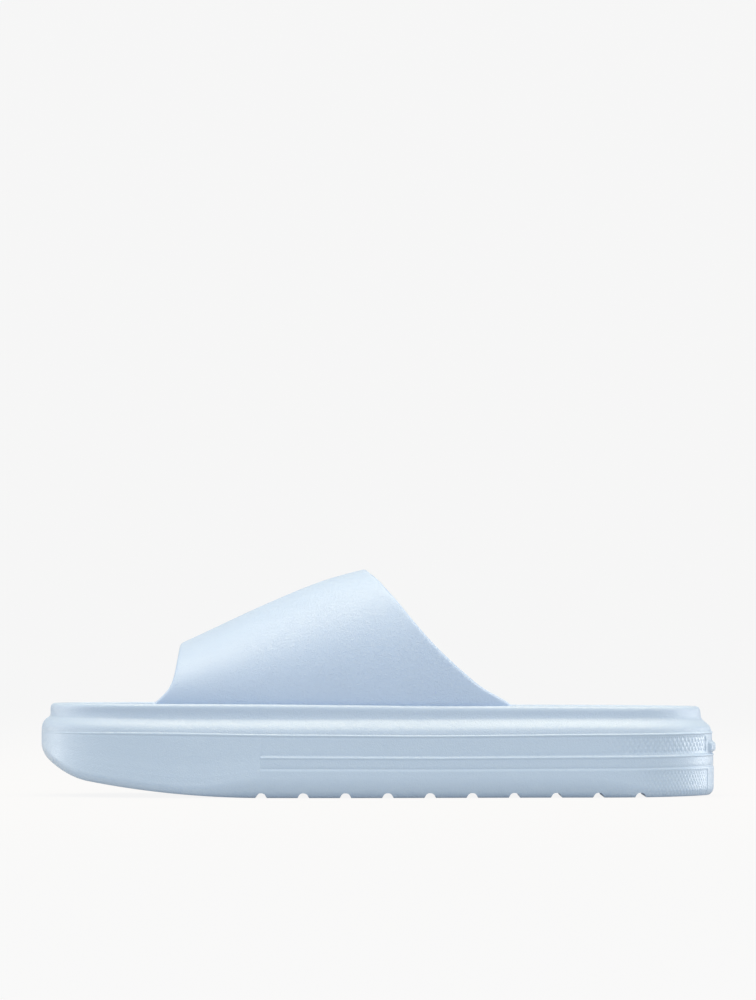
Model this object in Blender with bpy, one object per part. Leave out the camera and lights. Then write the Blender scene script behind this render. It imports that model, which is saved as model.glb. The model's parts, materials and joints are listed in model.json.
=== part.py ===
"""Sport slide sandal, left shoe: a foam outsole, a midsole with a rim, an insole and one wide strap.

Metres, +Z up. The toe points to -X and the outer side of the foot faces -Y. The origin is on the floor,
under the middle of the shoe. Run it in Blender 4.5.
"""

import math
from typing import NamedTuple

import bmesh
import bpy
import numpy as np

# Sole: overall sizes
SOLE_LENGTH = 0.2704
BALL_WIDTH = 0.1080
SOLE_HEIGHT = 0.0373
GAP = 0.0003

# Outsole: toe spring, heel bevel and the rolled lower edge
TOE_SPRING = 0.0104
SPRING_START = 0.0900
SPRING_POWER = 1.95
HEEL_BEVEL = 0.0006
HEEL_BEVEL_LENGTH = 0.0450
EDGE_TUCK = 0.0048
EDGE_ROLL = 0.0080
TOE_TUCK = 0.0185
TOE_ROLL = 0.0108

# Outsole: side band, whose two lines are steps in the wall
BAND_TOP = 0.0164
BAND_BOTTOM = 0.0112
BAND_START = 0.0890
UPPER_WALL_INSET = 0.0005
BAND_INSET = 0.0001
LINE_HEIGHT = 0.0003

# Outsole: straight grooves across the tread
GROOVE_COUNT = 10
GROOVE_PITCH = 0.01676
GROOVE_FIRST = 0.0892
GROOVE_WIDTH = 0.0046
GROOVE_TOP_WIDTH = 0.0029
GROOVE_TOP_ROUND = 0.0007
GROOVE_DEPTH = 0.0019

# Outsole: bare raised pad at the back of the heel
PAD_WIDTH = 0.0260
PAD_HEIGHT = 0.0044
PAD_MIDDLE = 0.0199
PAD_PROUD = 0.0007
PAD_SINK = 0.0010

# Midsole: rim and tray
MIDSOLE_STEP = 0.0003
RIM_INSET_TOE = 0.0034
RIM_INSET_HEEL = 0.0046
RIM_WIDTH = 0.0034
TRAY_FLOOR = 0.0030

# Insole: footbed
INSOLE_BELOW_RIM = 0.0034
INSOLE_EDGE_ROUND = 0.0010

# Strap
STRAP_HEIGHT = 0.0911
STRAP_WALL = 0.0046
STRAP_EDGE_ROUND = 0.0017
STRAP_SPRING = 0.0015
STRAP_CROWN_SHIFT = 0.06
STRAP_SQUARENESS = 2.35

# Mesh density
STATIONS = 48
ARCH_ROWS = 30
STRAP_COLUMNS = 14
FOOTBED_COLUMNS = 8

# Rounding of the ends of the plan, as shares of the length and as the power of the curve
TOE_ROUND = 0.235
TOE_POWER = 2.25
HEEL_ROUND = 0.175
HEEL_POWER = 2.15


class Section(NamedTuple):
    """One cross-section of the sole, from the toe to the heel."""

    along: float  # of SOLE_LENGTH, from the toe
    centre: float  # of BALL_WIDTH, towards the inner side
    half: float  # of BALL_WIDTH, before the ends are rounded
    rim: float  # of SOLE_HEIGHT, crest of the rim
    parting: float  # of SOLE_HEIGHT, line between outsole and midsole


SECTIONS = (
    Section(along=0.00, centre=0.100, half=0.470, rim=1.000, parting=0.694),
    Section(along=0.10, centre=0.074, half=0.484, rim=1.000, parting=0.694),
    Section(along=0.20, centre=0.045, half=0.495, rim=1.000, parting=0.690),
    Section(along=0.32, centre=0.010, half=0.500, rim=0.998, parting=0.678),
    Section(along=0.45, centre=-0.028, half=0.474, rim=0.990, parting=0.671),
    Section(along=0.58, centre=-0.046, half=0.424, rim=0.979, parting=0.665),
    Section(along=0.70, centre=-0.042, half=0.388, rim=0.977, parting=0.670),
    Section(along=0.82, centre=-0.028, half=0.374, rim=0.974, parting=0.678),
    Section(along=0.92, centre=-0.018, half=0.370, rim=0.970, parting=0.682),
    Section(along=1.00, centre=-0.012, half=0.366, rim=0.966, parting=0.694),
)


class WallRow(NamedTuple):
    """One line of the midsole's outer wall, from the parting line up over the crest to the tray."""

    rise: float  # from the parting line, 0, to the crest of the rim, 1
    toe: float  # of RIM_INSET_TOE, inset at the toe
    heel: float  # of RIM_INSET_HEEL, inset at the heel
    crest: float  # of RIM_WIDTH, added to the inset


MIDSOLE_WALL = (
    WallRow(rise=0.000, toe=0.00, heel=0.00, crest=0.00),
    WallRow(rise=0.190, toe=0.04, heel=0.13, crest=0.00),
    WallRow(rise=0.290, toe=0.13, heel=0.33, crest=0.00),
    WallRow(rise=0.380, toe=0.30, heel=0.57, crest=0.00),
    WallRow(rise=0.460, toe=0.57, heel=0.80, crest=0.00),
    WallRow(rise=0.530, toe=0.87, heel=0.94, crest=0.00),
    WallRow(rise=0.580, toe=1.00, heel=1.02, crest=0.00),
    WallRow(rise=0.690, toe=1.05, heel=1.05, crest=0.00),
    WallRow(rise=0.830, toe=1.00, heel=1.02, crest=0.00),
    WallRow(rise=0.930, toe=1.00, heel=1.00, crest=0.12),
    WallRow(rise=0.982, toe=1.00, heel=1.00, crest=0.32),
    WallRow(rise=1.000, toe=1.00, heel=1.00, crest=0.56),
    WallRow(rise=0.982, toe=1.00, heel=1.00, crest=0.80),
    WallRow(rise=0.930, toe=1.00, heel=1.00, crest=0.97),
)


class Footbed(NamedTuple):
    """One cross-section of the insole's top."""

    along: float  # of SOLE_LENGTH, from the toe
    hollow: float  # of SOLE_HEIGHT, middle below the edge
    arch: float  # of SOLE_HEIGHT, raised on the inner side


FOOTBED = (
    Footbed(along=0.00, hollow=0.030, arch=0.000),
    Footbed(along=0.12, hollow=0.072, arch=0.000),
    Footbed(along=0.30, hollow=0.082, arch=0.000),
    Footbed(along=0.45, hollow=0.066, arch=0.022),
    Footbed(along=0.60, hollow=0.062, arch=0.040),
    Footbed(along=0.75, hollow=0.088, arch=0.014),
    Footbed(along=0.88, hollow=0.098, arch=0.000),
    Footbed(along=1.00, hollow=0.030, arch=0.000),
)


class Crown(NamedTuple):
    """Height of the last's top line, which the strap lies on; past the strap it only guides the sides."""

    along: float  # of SOLE_LENGTH, from the toe
    height: float  # of STRAP_HEIGHT


CROWN = (
    Crown(along=0.100, height=0.540),
    Crown(along=0.200, height=0.662),
    Crown(along=0.340, height=0.853),
    Crown(along=0.420, height=0.950),
    Crown(along=0.477, height=1.003),
    Crown(along=0.600, height=1.090),
    Crown(along=0.750, height=1.150),
)


class StrapEdge(NamedTuple):
    """Where the strap's two edges lie at one height; both flare out at the rim."""

    rise: float  # from the rim, 0, to the top of the strap, 1
    front: float  # of SOLE_LENGTH, from the toe
    back: float  # of SOLE_LENGTH, from the toe


STRAP_EDGES = (
    StrapEdge(rise=0.00, front=0.1600, back=0.7010),
    StrapEdge(rise=0.02, front=0.1725, back=0.6880),
    StrapEdge(rise=0.05, front=0.1805, back=0.6755),
    StrapEdge(rise=0.10, front=0.1895, back=0.6595),
    StrapEdge(rise=0.17, front=0.1965, back=0.6430),
    StrapEdge(rise=0.30, front=0.2020, back=0.6140),
    StrapEdge(rise=0.46, front=0.2055, back=0.5820),
    StrapEdge(rise=0.62, front=0.2080, back=0.5545),
    StrapEdge(rise=0.77, front=0.2090, back=0.5305),
    StrapEdge(rise=0.87, front=0.2100, back=0.5115),
    StrapEdge(rise=1.00, front=0.2110, back=0.4845),
)


class PadRow(NamedTuple):
    """One line of the heel pad, from below to above."""

    rise: float  # of PAD_HEIGHT, from its middle
    inset: float  # from the outline; below 0 it stands proud


PAD_ROWS = (
    PadRow(rise=-0.5, inset=3 * PAD_SINK),
    PadRow(rise=-0.5, inset=PAD_SINK),
    PadRow(rise=-0.3, inset=-PAD_PROUD),
    PadRow(rise=0.3, inset=-PAD_PROUD),
    PadRow(rise=0.5, inset=PAD_SINK),
    PadRow(rise=0.5, inset=3 * PAD_SINK),
)

# Columns of the heel pad, as shares of its width; its two end columns are sunk in the wall
PAD_COLUMNS = np.array([-0.5, -0.46, -0.35, -0.18, 0.0, 0.18, 0.35, 0.46, 0.5])

# Shapes of curves: how fast the toe's large roll fades, and how flat the footbed's cup is
TOE_ROLL_REACH = 2.0
CUP_POWER = 2.6

# Steps: facets of the rolled edge, and tries for where an edge meets a line of the last
EDGE_ARC_STEPS = 5
EDGE_TRIES = 30
SHARP_ANGLE = math.radians(35)

FOAM_ROUGHNESS = 0.62
FOAM_COLOURS = {
    "outsole": (0.470, 0.610, 0.730, 1.0),
    "midsole": (0.530, 0.660, 0.765, 1.0),
    "insole": (0.500, 0.635, 0.750, 1.0),
    "strap": (0.550, 0.680, 0.790, 1.0),
}


def clear_scene():
    """Removes what the file opens with."""
    for thing in list(bpy.data.objects):
        bpy.data.objects.remove(thing, do_unlink=True)


def smooth_curve(rows, column, at):
    """Cubic curve of a column over the table's first column, flat where it turns back."""
    places = np.array([row[0] for row in rows])
    values = np.array([getattr(row, column) for row in rows])
    steps = np.diff(places)
    slopes = np.diff(values) / steps
    tangents = np.concatenate([slopes[:1], (slopes[:-1] + slopes[1:]) / 2, slopes[-1:]])
    turns = np.where(slopes[:-1] * slopes[1:] <= 0)[0] + 1
    tangents[turns] = 0.0
    at = np.clip(np.asarray(at, float), places[0], places[-1])
    k = np.clip(np.searchsorted(places, at, side="right") - 1, 0, len(steps) - 1)
    t = (at - places[k]) / steps[k]
    start = (1 + 2 * t) * (1 - t) ** 2 * values[k] + t * (1 - t) ** 2 * steps[k] * tangents[k]
    end = t**2 * (3 - 2 * t) * values[k + 1] - t**2 * (1 - t) * steps[k] * tangents[k + 1]
    return start + end


def share_at(x):
    """Share of the length at a place, 0 at the toe and 1 at the heel."""
    return (np.asarray(x, float) - TOE_X) / SOLE_LENGTH


def end_round(share, reach, power):
    """Width left by the rounding of one end, from 0 at the tip to 1 past its reach."""
    inward = np.clip(1 - share / reach, 0, 1)
    return (1 - inward**power) ** (1 / power)


def plan_half_and_centre(share):
    """Half width and centre line of the plan, ends rounded."""
    half = BALL_WIDTH * smooth_curve(SECTIONS, "half", share)
    half = half * end_round(share, TOE_ROUND, TOE_POWER) * end_round(1 - share, HEEL_ROUND, HEEL_POWER)
    return half, BALL_WIDTH * smooth_curve(SECTIONS, "centre", share)


def station_shares():
    """Stations from toe to heel, closer at the round ends, with a pair where the side band starts."""
    turns = np.linspace(0, math.pi, STATIONS + 1)
    band = BAND_START / SOLE_LENGTH
    edge = LINE_HEIGHT / SOLE_LENGTH
    shares = (1 - np.cos(turns)) / 2
    apart = np.abs(shares - band) > 4 * edge
    return np.sort(np.concatenate([shares[apart], [band - edge, band + edge]]))


TOE_X = -(SOLE_LENGTH + PAD_PROUD) / 2
SHARES = station_shares()
HALF_WIDTHS, CENTRES = plan_half_and_centre(SHARES)
PLAN_MIDDLE = ((CENTRES + HALF_WIDTHS).max() + (CENTRES - HALF_WIDTHS).min()) / 2


def plan_loop():
    """Outline of the sole: the outer side from toe to heel, then the inner side back."""
    x = TOE_X + SHARES * SOLE_LENGTH
    outer = np.stack([x, CENTRES - HALF_WIDTHS - PLAN_MIDDLE], axis=1)
    inner = np.stack([x, CENTRES + HALF_WIDTHS - PLAN_MIDDLE], axis=1)
    return np.concatenate([outer, inner[-2:0:-1]])


def outward(loop):
    """Outward direction at each point of a loop."""
    tangent = np.roll(loop, -1, axis=0) - np.roll(loop, 1, axis=0)
    normal = np.stack([tangent[:, 1], -tangent[:, 0]], axis=1)
    normal /= np.linalg.norm(normal, axis=1, keepdims=True)
    return normal


PLAN = plan_loop()
PLAN_OUT = outward(PLAN)


def inset_loop(inset):
    """The outline moved inwards, by one distance or one for each point."""
    return PLAN - PLAN_OUT * np.broadcast_to(inset, len(PLAN))[:, None]


def rim_height(x):
    """Crest of the rim."""
    return SOLE_HEIGHT * smooth_curve(SECTIONS, "rim", share_at(x))


def parting_height(x):
    """Line between the outsole and the midsole."""
    return SOLE_HEIGHT * smooth_curve(SECTIONS, "parting", share_at(x))


def tray_height(x):
    """Floor of the midsole's tray."""
    return parting_height(x) + TRAY_FLOOR


def floor_height(x):
    """Underside of the outsole: flat, sprung at the toe and a little bevelled at the heel."""
    x = np.asarray(x, float)
    spring = np.clip((TOE_X + SPRING_START - x) / SPRING_START, 0, None)
    bevel_start = TOE_X + SOLE_LENGTH - HEEL_BEVEL_LENGTH
    bevel = np.clip((x - bevel_start) / HEEL_BEVEL_LENGTH, 0, None)
    return TOE_SPRING * spring**SPRING_POWER + HEEL_BEVEL * bevel**2


def step_fade():
    """Share of the wall's steps at each point of the outline: none at the toe's tip, all from the band on."""
    return np.clip((PLAN[:, 0] - TOE_X) / BAND_START, 0, 1) ** 0.5


def upper_wall_inset():
    """From the outline in to the outsole's wall above the band."""
    return UPPER_WALL_INSET * step_fade()


def midsole_inset():
    """From the outline in to the midsole's wall, a fine step behind the outsole's top edge."""
    return (UPPER_WALL_INSET + MIDSOLE_STEP) * step_fade()


def rim_inset(toe_share, heel_share):
    """From the midsole's wall in to its shoulder or rim, blended from toe to heel."""
    toe, heel = RIM_INSET_TOE * toe_share, RIM_INSET_HEEL * heel_share
    return toe + (heel - toe) * np.clip(share_at(PLAN[:, 0]), 0, 1)


def tray_inset():
    """From the outline in to the tray's wall."""
    return midsole_inset() + rim_inset(1.0, 1.0) + RIM_WIDTH


def ring(loop, height):
    """A loop at one height, or one height for each point."""
    return np.column_stack([loop, np.broadcast_to(height, len(loop))])


def add_cap(bm, verts, columns, height):
    """Closes a ring with faces across the sole, from the outer side to the inner side."""
    count = len(verts)
    last = count // 2
    rows = []
    for j in range(1, last):
        start = verts[j]
        end = verts[count - j]
        row = [start]
        for k in range(1, columns):
            place = start.co.lerp(end.co, k / columns)
            if height is not None:
                place.z = height(place.x, 2 * k / columns - 1)
            row.append(bm.verts.new(place))
        rows.append(row + [end])
    for front, back in zip(rows, rows[1:]):
        for k in range(columns):
            bm.faces.new((front[k], back[k], back[k + 1], front[k + 1]))
    for tip, row in ((verts[0], rows[0]), (verts[last], rows[-1])):
        for k in range(columns):
            bm.faces.new((tip, row[k], row[k + 1]))


def skin(rings, columns=1, height=None):
    """A closed solid through rings of equal count; the last ring's cap can be shaped by a height."""
    bm = bmesh.new()
    loops = [[bm.verts.new(point) for point in points] for points in rings]
    for low, high in zip(loops, loops[1:]):
        for i in range(len(low)):
            j = (i + 1) % len(low)
            bm.faces.new((low[i], low[j], high[j], high[i]))
    add_cap(bm, loops[0], 1, None)
    add_cap(bm, loops[-1], columns, height)
    bmesh.ops.recalc_face_normals(bm, faces=bm.faces)
    return bm


def add_object(name, bm):
    """Turns a bmesh into a scene object, shaded smooth on its round parts."""
    mesh = bpy.data.meshes.new(name)
    bm.to_mesh(mesh)
    bm.free()
    mesh.shade_smooth()
    mesh.set_sharp_from_angle(angle=SHARP_ANGLE)
    made = bpy.data.objects.new(name, mesh)
    bpy.context.collection.objects.link(made)
    return made


def paint(piece, colour):
    """Gives a piece its own foam material."""
    material = bpy.data.materials.new(piece.name + "_foam")
    material.use_nodes = True
    shader = material.node_tree.nodes["Principled BSDF"]
    shader.inputs["Base Color"].default_value = colour
    shader.inputs["Roughness"].default_value = FOAM_ROUGHNESS
    shader.inputs["Metallic"].default_value = 0.0
    piece.data.materials.append(material)


def combine(piece, other, operation):
    """Adds a Boolean with a hidden partner."""
    other.hide_render = True
    other.display_type = "WIRE"
    modifier = piece.modifiers.new(other.name, "BOOLEAN")
    modifier.operation = operation
    modifier.object = other


def outsole_rings():
    """Rings of the outsole, from its top edge down the stepped wall and round the lower edge."""
    banded = SHARES >= BAND_START / SOLE_LENGTH
    banded = np.concatenate([banded, banded[-2:0:-1]])
    top = parting_height(PLAN[:, 0]) - GAP
    dip = top / top[len(SHARES) - 1]
    forward = np.clip(-PLAN_OUT[:, 0], 0, 1) ** TOE_ROLL_REACH * (PLAN[:, 0] < 0)
    tuck = EDGE_TUCK + (TOE_TUCK - EDGE_TUCK) * forward
    roll = EDGE_ROLL + (TOE_ROLL - EDGE_ROLL) * forward
    upper = upper_wall_inset()

    def wall(height, banded_inset):
        """A ring that dips with the parting line; ahead of the band the wall leans out evenly to its foot."""
        lowest = floor_height(PLAN[:, 0]) + roll
        share = (height * dip - EDGE_ROLL) / (top - EDGE_ROLL)
        loop = inset_loop(np.where(banded, banded_inset, upper * share))
        return ring(loop, lowest + (top - lowest) * share)

    rings = [
        ring(inset_loop(upper), top),
        wall(BAND_TOP + LINE_HEIGHT, UPPER_WALL_INSET),
        wall(BAND_TOP, BAND_INSET),
        wall(BAND_BOTTOM + 2 * LINE_HEIGHT, BAND_INSET),
        wall(BAND_BOTTOM + LINE_HEIGHT, 2 * BAND_INSET + LINE_HEIGHT / 2),
        wall(BAND_BOTTOM, 0.0),
    ]
    for turn in np.linspace(0, math.pi / 2, EDGE_ARC_STEPS + 1):
        loop = inset_loop(tuck * (1 - math.cos(turn)))
        rings.append(ring(loop, floor_height(loop[:, 0]) + roll * (1 - math.sin(turn))))
    return rings


def groove_cutters():
    """Bars across the tread, narrower at the top, that cut the grooves."""
    bm = bmesh.new()
    for k in range(GROOVE_COUNT):
        middle = TOE_X + GROOVE_FIRST + k * GROOVE_PITCH
        made = bmesh.ops.create_cube(bm, size=1.0)
        for vert in made["verts"]:
            is_top = vert.co.z > 0
            width = GROOVE_TOP_WIDTH if is_top else 2 * GROOVE_WIDTH - GROOVE_TOP_WIDTH
            vert.co.x = middle + vert.co.x * width
            vert.co.y *= 2 * BALL_WIDTH
            vert.co.z = GROOVE_DEPTH if is_top else -GROOVE_DEPTH
        edges = {edge for vert in made["verts"] for edge in vert.link_edges}
        tops = [edge for edge in edges if all(vert.co.z > 0 for vert in edge.verts)]
        along = [edge for edge in tops if edge.verts[0].co.y * edge.verts[1].co.y < 0]
        bmesh.ops.bevel(bm, geom=along, offset=GROOVE_TOP_ROUND, segments=2, affect="EDGES")
    return add_object("groove_cutters", bm)


def heel_pad():
    """A bare raised pad, bent round the back of the heel, with its edges sunk in the wall."""
    tip = len(SHARES) - 1
    reach = STATIONS // 6
    near = slice(tip - reach, tip + reach + 1)
    across = PLAN[near, 1] - PLAN[tip, 1]
    places = [np.interp(PAD_WIDTH * PAD_COLUMNS, across, PLAN[near, k]) for k in range(2)]
    outs = [np.interp(PAD_WIDTH * PAD_COLUMNS, across, PLAN_OUT[near, k]) for k in range(2)]
    bm = bmesh.new()
    grid = []
    for share, x, y, out_x, out_y in zip(PAD_COLUMNS, *places, *outs):
        column = []
        for row in PAD_ROWS:
            inset = max(row.inset, PAD_SINK) if abs(share) == 0.5 else row.inset
            height = PAD_MIDDLE + row.rise * PAD_HEIGHT
            column.append(bm.verts.new((x - out_x * inset, y - out_y * inset, height)))
        grid.append(column)
    for left, right in zip(grid, grid[1:]):
        for a in range(len(PAD_ROWS)):
            b = (a + 1) % len(PAD_ROWS)
            bm.faces.new((left[a], right[a], right[b], left[b]))
    bm.faces.new(grid[0])
    bm.faces.new(grid[-1])
    bmesh.ops.recalc_face_normals(bm, faces=bm.faces)
    return add_object("heel_pad", bm)


def make_outsole():
    """Foam cup sole with its heel pad and tread grooves."""
    piece = add_object("outsole", skin(outsole_rings()))
    combine(piece, heel_pad(), "UNION")
    combine(piece, groove_cutters(), "DIFFERENCE")
    paint(piece, FOAM_COLOURS["outsole"])


def make_midsole():
    """Upper frame of the sole: shoulder, rim and tray."""
    rings = []
    for row in MIDSOLE_WALL:
        inset = midsole_inset() + rim_inset(row.toe, row.heel) + RIM_WIDTH * row.crest
        loop = inset_loop(inset)
        low = parting_height(loop[:, 0])
        rings.append(ring(loop, low + (rim_height(loop[:, 0]) - low) * row.rise))
    floor = inset_loop(tray_inset())
    rings.append(ring(floor, tray_height(floor[:, 0])))
    piece = add_object("midsole", skin(rings))
    paint(piece, FOAM_COLOURS["midsole"])


def insole_edge_height(x):
    """Top edge of the insole."""
    return rim_height(x) - INSOLE_BELOW_RIM


def footbed_height(x, across):
    """Top of the insole; across runs from -1 at the outer side to 1 at the inner side."""
    hollow = SOLE_HEIGHT * smooth_curve(FOOTBED, "hollow", share_at(x))
    arch = SOLE_HEIGHT * smooth_curve(FOOTBED, "arch", share_at(x))
    inner = max(across, 0.0)
    return insole_edge_height(x) - hollow * (1 - abs(across) ** CUP_POWER) + arch * inner * (1 - inner**4)


def make_insole():
    """Contoured footbed in the tray, cut back where the strap's feet stand."""
    foot = inset_loop(tray_inset() + GAP)
    top = inset_loop(tray_inset() + GAP + INSOLE_EDGE_ROUND)
    rings = [
        ring(foot, tray_height(foot[:, 0]) + GAP),
        ring(foot, insole_edge_height(foot[:, 0]) - INSOLE_EDGE_ROUND),
        ring(top, insole_edge_height(top[:, 0])),
    ]
    piece = add_object("insole", skin(rings, FOOTBED_COLUMNS, footbed_height))
    combine(piece, strap_pockets(), "DIFFERENCE")
    paint(piece, FOAM_COLOURS["insole"])


def sides_at(x, inset):
    """Distances across to the outer and the inner side of an inset outline, at a place along it."""
    loop = inset_loop(inset)
    heel = len(SHARES)
    outer = loop[:heel]
    inner = np.concatenate([loop[heel - 1 :], loop[:1]])[::-1]
    return np.interp(x, outer[:, 0], outer[:, 1]), np.interp(x, inner[:, 0], inner[:, 1])


def last_point(x, around):
    """A point of the last at a place along it.

    around goes from -1, at the outer foot, over the arch from 0 to pi, to pi + 1 at the inner foot.
    """
    outer, inner = sides_at(x, tray_inset() + GAP)
    spring = rim_height(x) + STRAP_SPRING
    foot_end = tray_height(x) + GAP
    if around < 0:
        return outer, spring + (foot_end - spring) * -around
    if around > math.pi:
        return inner, spring + (foot_end - spring) * (around - math.pi)
    crown = STRAP_HEIGHT * smooth_curve(CROWN, "height", share_at(x))
    middle, half = (outer + inner) / 2, (inner - outer) / 2
    power = 2 / STRAP_SQUARENESS
    swing, lift = math.cos(around), max(math.sin(around), 0.0)
    across = middle - half * math.copysign(abs(swing) ** power, swing)
    return across + half * STRAP_CROWN_SHIFT * lift**2, spring + (crown - spring) * lift**power


def edge_line(edge, height):
    """Place of the strap's front or back edge at a height; below the rim both go straight down."""
    rise = (height - SOLE_HEIGHT) / (STRAP_HEIGHT - SOLE_HEIGHT)
    return TOE_X + SOLE_LENGTH * float(smooth_curve(STRAP_EDGES, edge, rise))


def edge_place(edge, around):
    """Where an edge meets one line of the last, found by repeated tries."""
    place = edge_line(edge, STRAP_HEIGHT)
    for _ in range(EDGE_TRIES):
        place = edge_line(edge, last_point(place, around)[1])
    return place


def make_strap():
    """The upper: one wide arch over the foot, thickened inwards, its edges rounded."""
    feet = np.array([1.0, 0.5])
    lines = np.concatenate([-feet, np.linspace(0, math.pi, ARCH_ROWS + 1), math.pi + feet[::-1]])
    bm = bmesh.new()
    grid = []
    for around in lines:
        places = np.linspace(edge_place("front", around), edge_place("back", around), STRAP_COLUMNS + 1)
        grid.append([bm.verts.new((x, *last_point(x, around))) for x in places])
    for low, high in zip(grid, grid[1:]):
        for k in range(STRAP_COLUMNS):
            bm.faces.new((low[k], low[k + 1], high[k + 1], high[k]))
    piece = add_object("strap", bm)
    wall = piece.modifiers.new("wall", "SOLIDIFY")
    wall.thickness = STRAP_WALL
    wall.offset = -1.0
    wall.use_even_offset = True
    edge = piece.modifiers.new("rounded_edges", "BEVEL")
    edge.width = STRAP_EDGE_ROUND
    edge.segments = 3
    edge.limit_method = "ANGLE"
    edge.angle_limit = math.radians(50)
    paint(piece, FOAM_COLOURS["strap"])


def strap_pockets():
    """Cutters for the strap's two feet, a gap wider than the feet all round."""
    ends = edge_line("front", SOLE_HEIGHT) - GAP, edge_line("back", SOLE_HEIGHT) + GAP
    places = np.linspace(*ends, STRAP_COLUMNS + 1)
    outside = sides_at(places, tray_inset() - RIM_WIDTH / 2)
    inside = sides_at(places, tray_inset() + STRAP_WALL + 2 * GAP)
    low, high = parting_height(0.0), SOLE_HEIGHT
    bm = bmesh.new()
    for outer, inner in zip(outside, inside):
        outline = [(x, y) for x, y in zip(places, outer)] + [(x, y) for x, y in zip(places, inner)][::-1]
        base = bm.faces.new([bm.verts.new((x, y, low)) for x, y in outline])
        raised = bmesh.ops.extrude_face_region(bm, geom=[base])
        moved = [part for part in raised["geom"] if isinstance(part, bmesh.types.BMVert)]
        bmesh.ops.translate(bm, verts=moved, vec=(0, 0, high - low))
    bmesh.ops.recalc_face_normals(bm, faces=bm.faces)
    return add_object("strap_pockets", bm)


clear_scene()
make_outsole()
make_midsole()
make_insole()
make_strap()
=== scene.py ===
"""Looks of the sport slide sandal: foam outsole, midsole, insole and one wide strap, in a pale studio.

Metres, +Z up. The toe points to -X and the outer side of the left foot faces -Y.
"""

import json
import logging
import math
from collections.abc import Callable, Sequence
from dataclasses import dataclass, field
from enum import Enum
from typing import NamedTuple

import bmesh
import bpy
import numpy as np
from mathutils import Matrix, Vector

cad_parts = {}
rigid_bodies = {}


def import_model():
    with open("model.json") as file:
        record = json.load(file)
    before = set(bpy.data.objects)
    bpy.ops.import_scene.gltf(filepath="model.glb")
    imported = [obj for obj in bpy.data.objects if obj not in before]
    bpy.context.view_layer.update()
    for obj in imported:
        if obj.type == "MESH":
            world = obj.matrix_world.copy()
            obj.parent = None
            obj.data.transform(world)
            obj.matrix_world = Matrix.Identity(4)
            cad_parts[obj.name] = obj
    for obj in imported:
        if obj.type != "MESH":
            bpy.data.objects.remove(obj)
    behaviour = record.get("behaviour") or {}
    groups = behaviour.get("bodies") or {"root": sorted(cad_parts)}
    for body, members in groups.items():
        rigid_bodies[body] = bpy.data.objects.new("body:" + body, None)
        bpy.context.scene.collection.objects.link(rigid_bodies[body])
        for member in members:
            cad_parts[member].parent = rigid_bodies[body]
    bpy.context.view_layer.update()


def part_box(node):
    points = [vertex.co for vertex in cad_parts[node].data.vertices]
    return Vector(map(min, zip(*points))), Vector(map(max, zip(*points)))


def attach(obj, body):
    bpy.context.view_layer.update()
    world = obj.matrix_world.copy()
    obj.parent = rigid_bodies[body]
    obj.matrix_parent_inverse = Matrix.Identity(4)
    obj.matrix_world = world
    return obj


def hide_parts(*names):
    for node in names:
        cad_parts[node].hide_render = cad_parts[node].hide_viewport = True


LOG = logging.getLogger("slide_sandal")
BODY = "root"
MM = 0.001
GAP = 0.3 * MM


class Section(NamedTuple):
    """One cross-section of the sole; along is a share of its length, from the toe."""

    along: float
    centre: float  # of the ball width, towards the inner side
    half: float  # of the ball width, before the ends are rounded
    rim: float  # of the sole height, crest of the rim
    parting: float  # of the sole height, line between outsole and midsole


class RimRow(NamedTuple):
    """One line of the midsole's wall, from the parting line up over the crest to the tray."""

    rise: float  # from the parting line, 0, to the crest of the rim, 1
    toe: float  # of the inset at the toe
    heel: float  # of the inset at the heel
    crest: float  # of the rim's width, added to the inset


class WallStep(NamedTuple):
    """One corner of the outsole's wall."""

    height: float  # above the floor at the heel
    inset: float  # from the outline, past the start of the band
    toe: float  # from the outline, ahead of the band


class ShoulderDrop(NamedTuple):
    """How far the shoulder of the midsole's wall is lowered; along is a share of the sole's length."""

    along: float
    drop: float


class Footbed(NamedTuple):
    """One cross-section of the insole's top; along is a share of the sole's length."""

    along: float
    hollow: float  # of the sole height, middle below the edge
    arch: float  # of the sole height, raised on the inner side


class Crown(NamedTuple):
    """Height of the last's top line; along is a share of the sole's length."""

    along: float
    height: float  # of the strap height


class StrapEdge(NamedTuple):
    """Where the strap's two edges lie at one height."""

    rise: float  # from the rim, 0, to the top of the strap, 1
    front: float  # of the sole's length
    back: float  # of the sole's length


SECTIONS = tuple(
    Section(*row)
    for row in (
        (0.00, 0.100, 0.470, 1.000, 0.694),
        (0.10, 0.074, 0.484, 1.000, 0.694),
        (0.20, 0.045, 0.495, 1.000, 0.690),
        (0.32, 0.010, 0.500, 0.998, 0.678),
        (0.45, -0.028, 0.474, 0.990, 0.671),
        (0.58, -0.046, 0.424, 0.979, 0.665),
        (0.70, -0.042, 0.388, 0.977, 0.670),
        (0.82, -0.028, 0.374, 0.974, 0.678),
        (0.92, -0.018, 0.370, 0.970, 0.682),
        (1.00, -0.012, 0.366, 0.966, 0.694),
    )
)

RIM_ROWS = tuple(
    RimRow(*row)
    for row in (
        (0.000, 0.00, 0.00, 0.00),
        (0.190, 0.04, 0.13, 0.00),
        (0.290, 0.13, 0.33, 0.00),
        (0.380, 0.30, 0.57, 0.00),
        (0.460, 0.57, 0.80, 0.00),
        (0.530, 0.96, 0.90, 0.00),
        (0.580, 1.16, 0.94, 0.00),
        (0.690, 1.24, 0.98, 0.00),
        (0.830, 1.12, 1.00, 0.00),
        (0.930, 1.00, 1.00, 0.12),
        (0.982, 1.00, 1.00, 0.32),
        (1.000, 1.00, 1.00, 0.56),
        (0.982, 1.00, 1.00, 0.80),
        (0.930, 1.00, 1.00, 0.97),
    )
)

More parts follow.
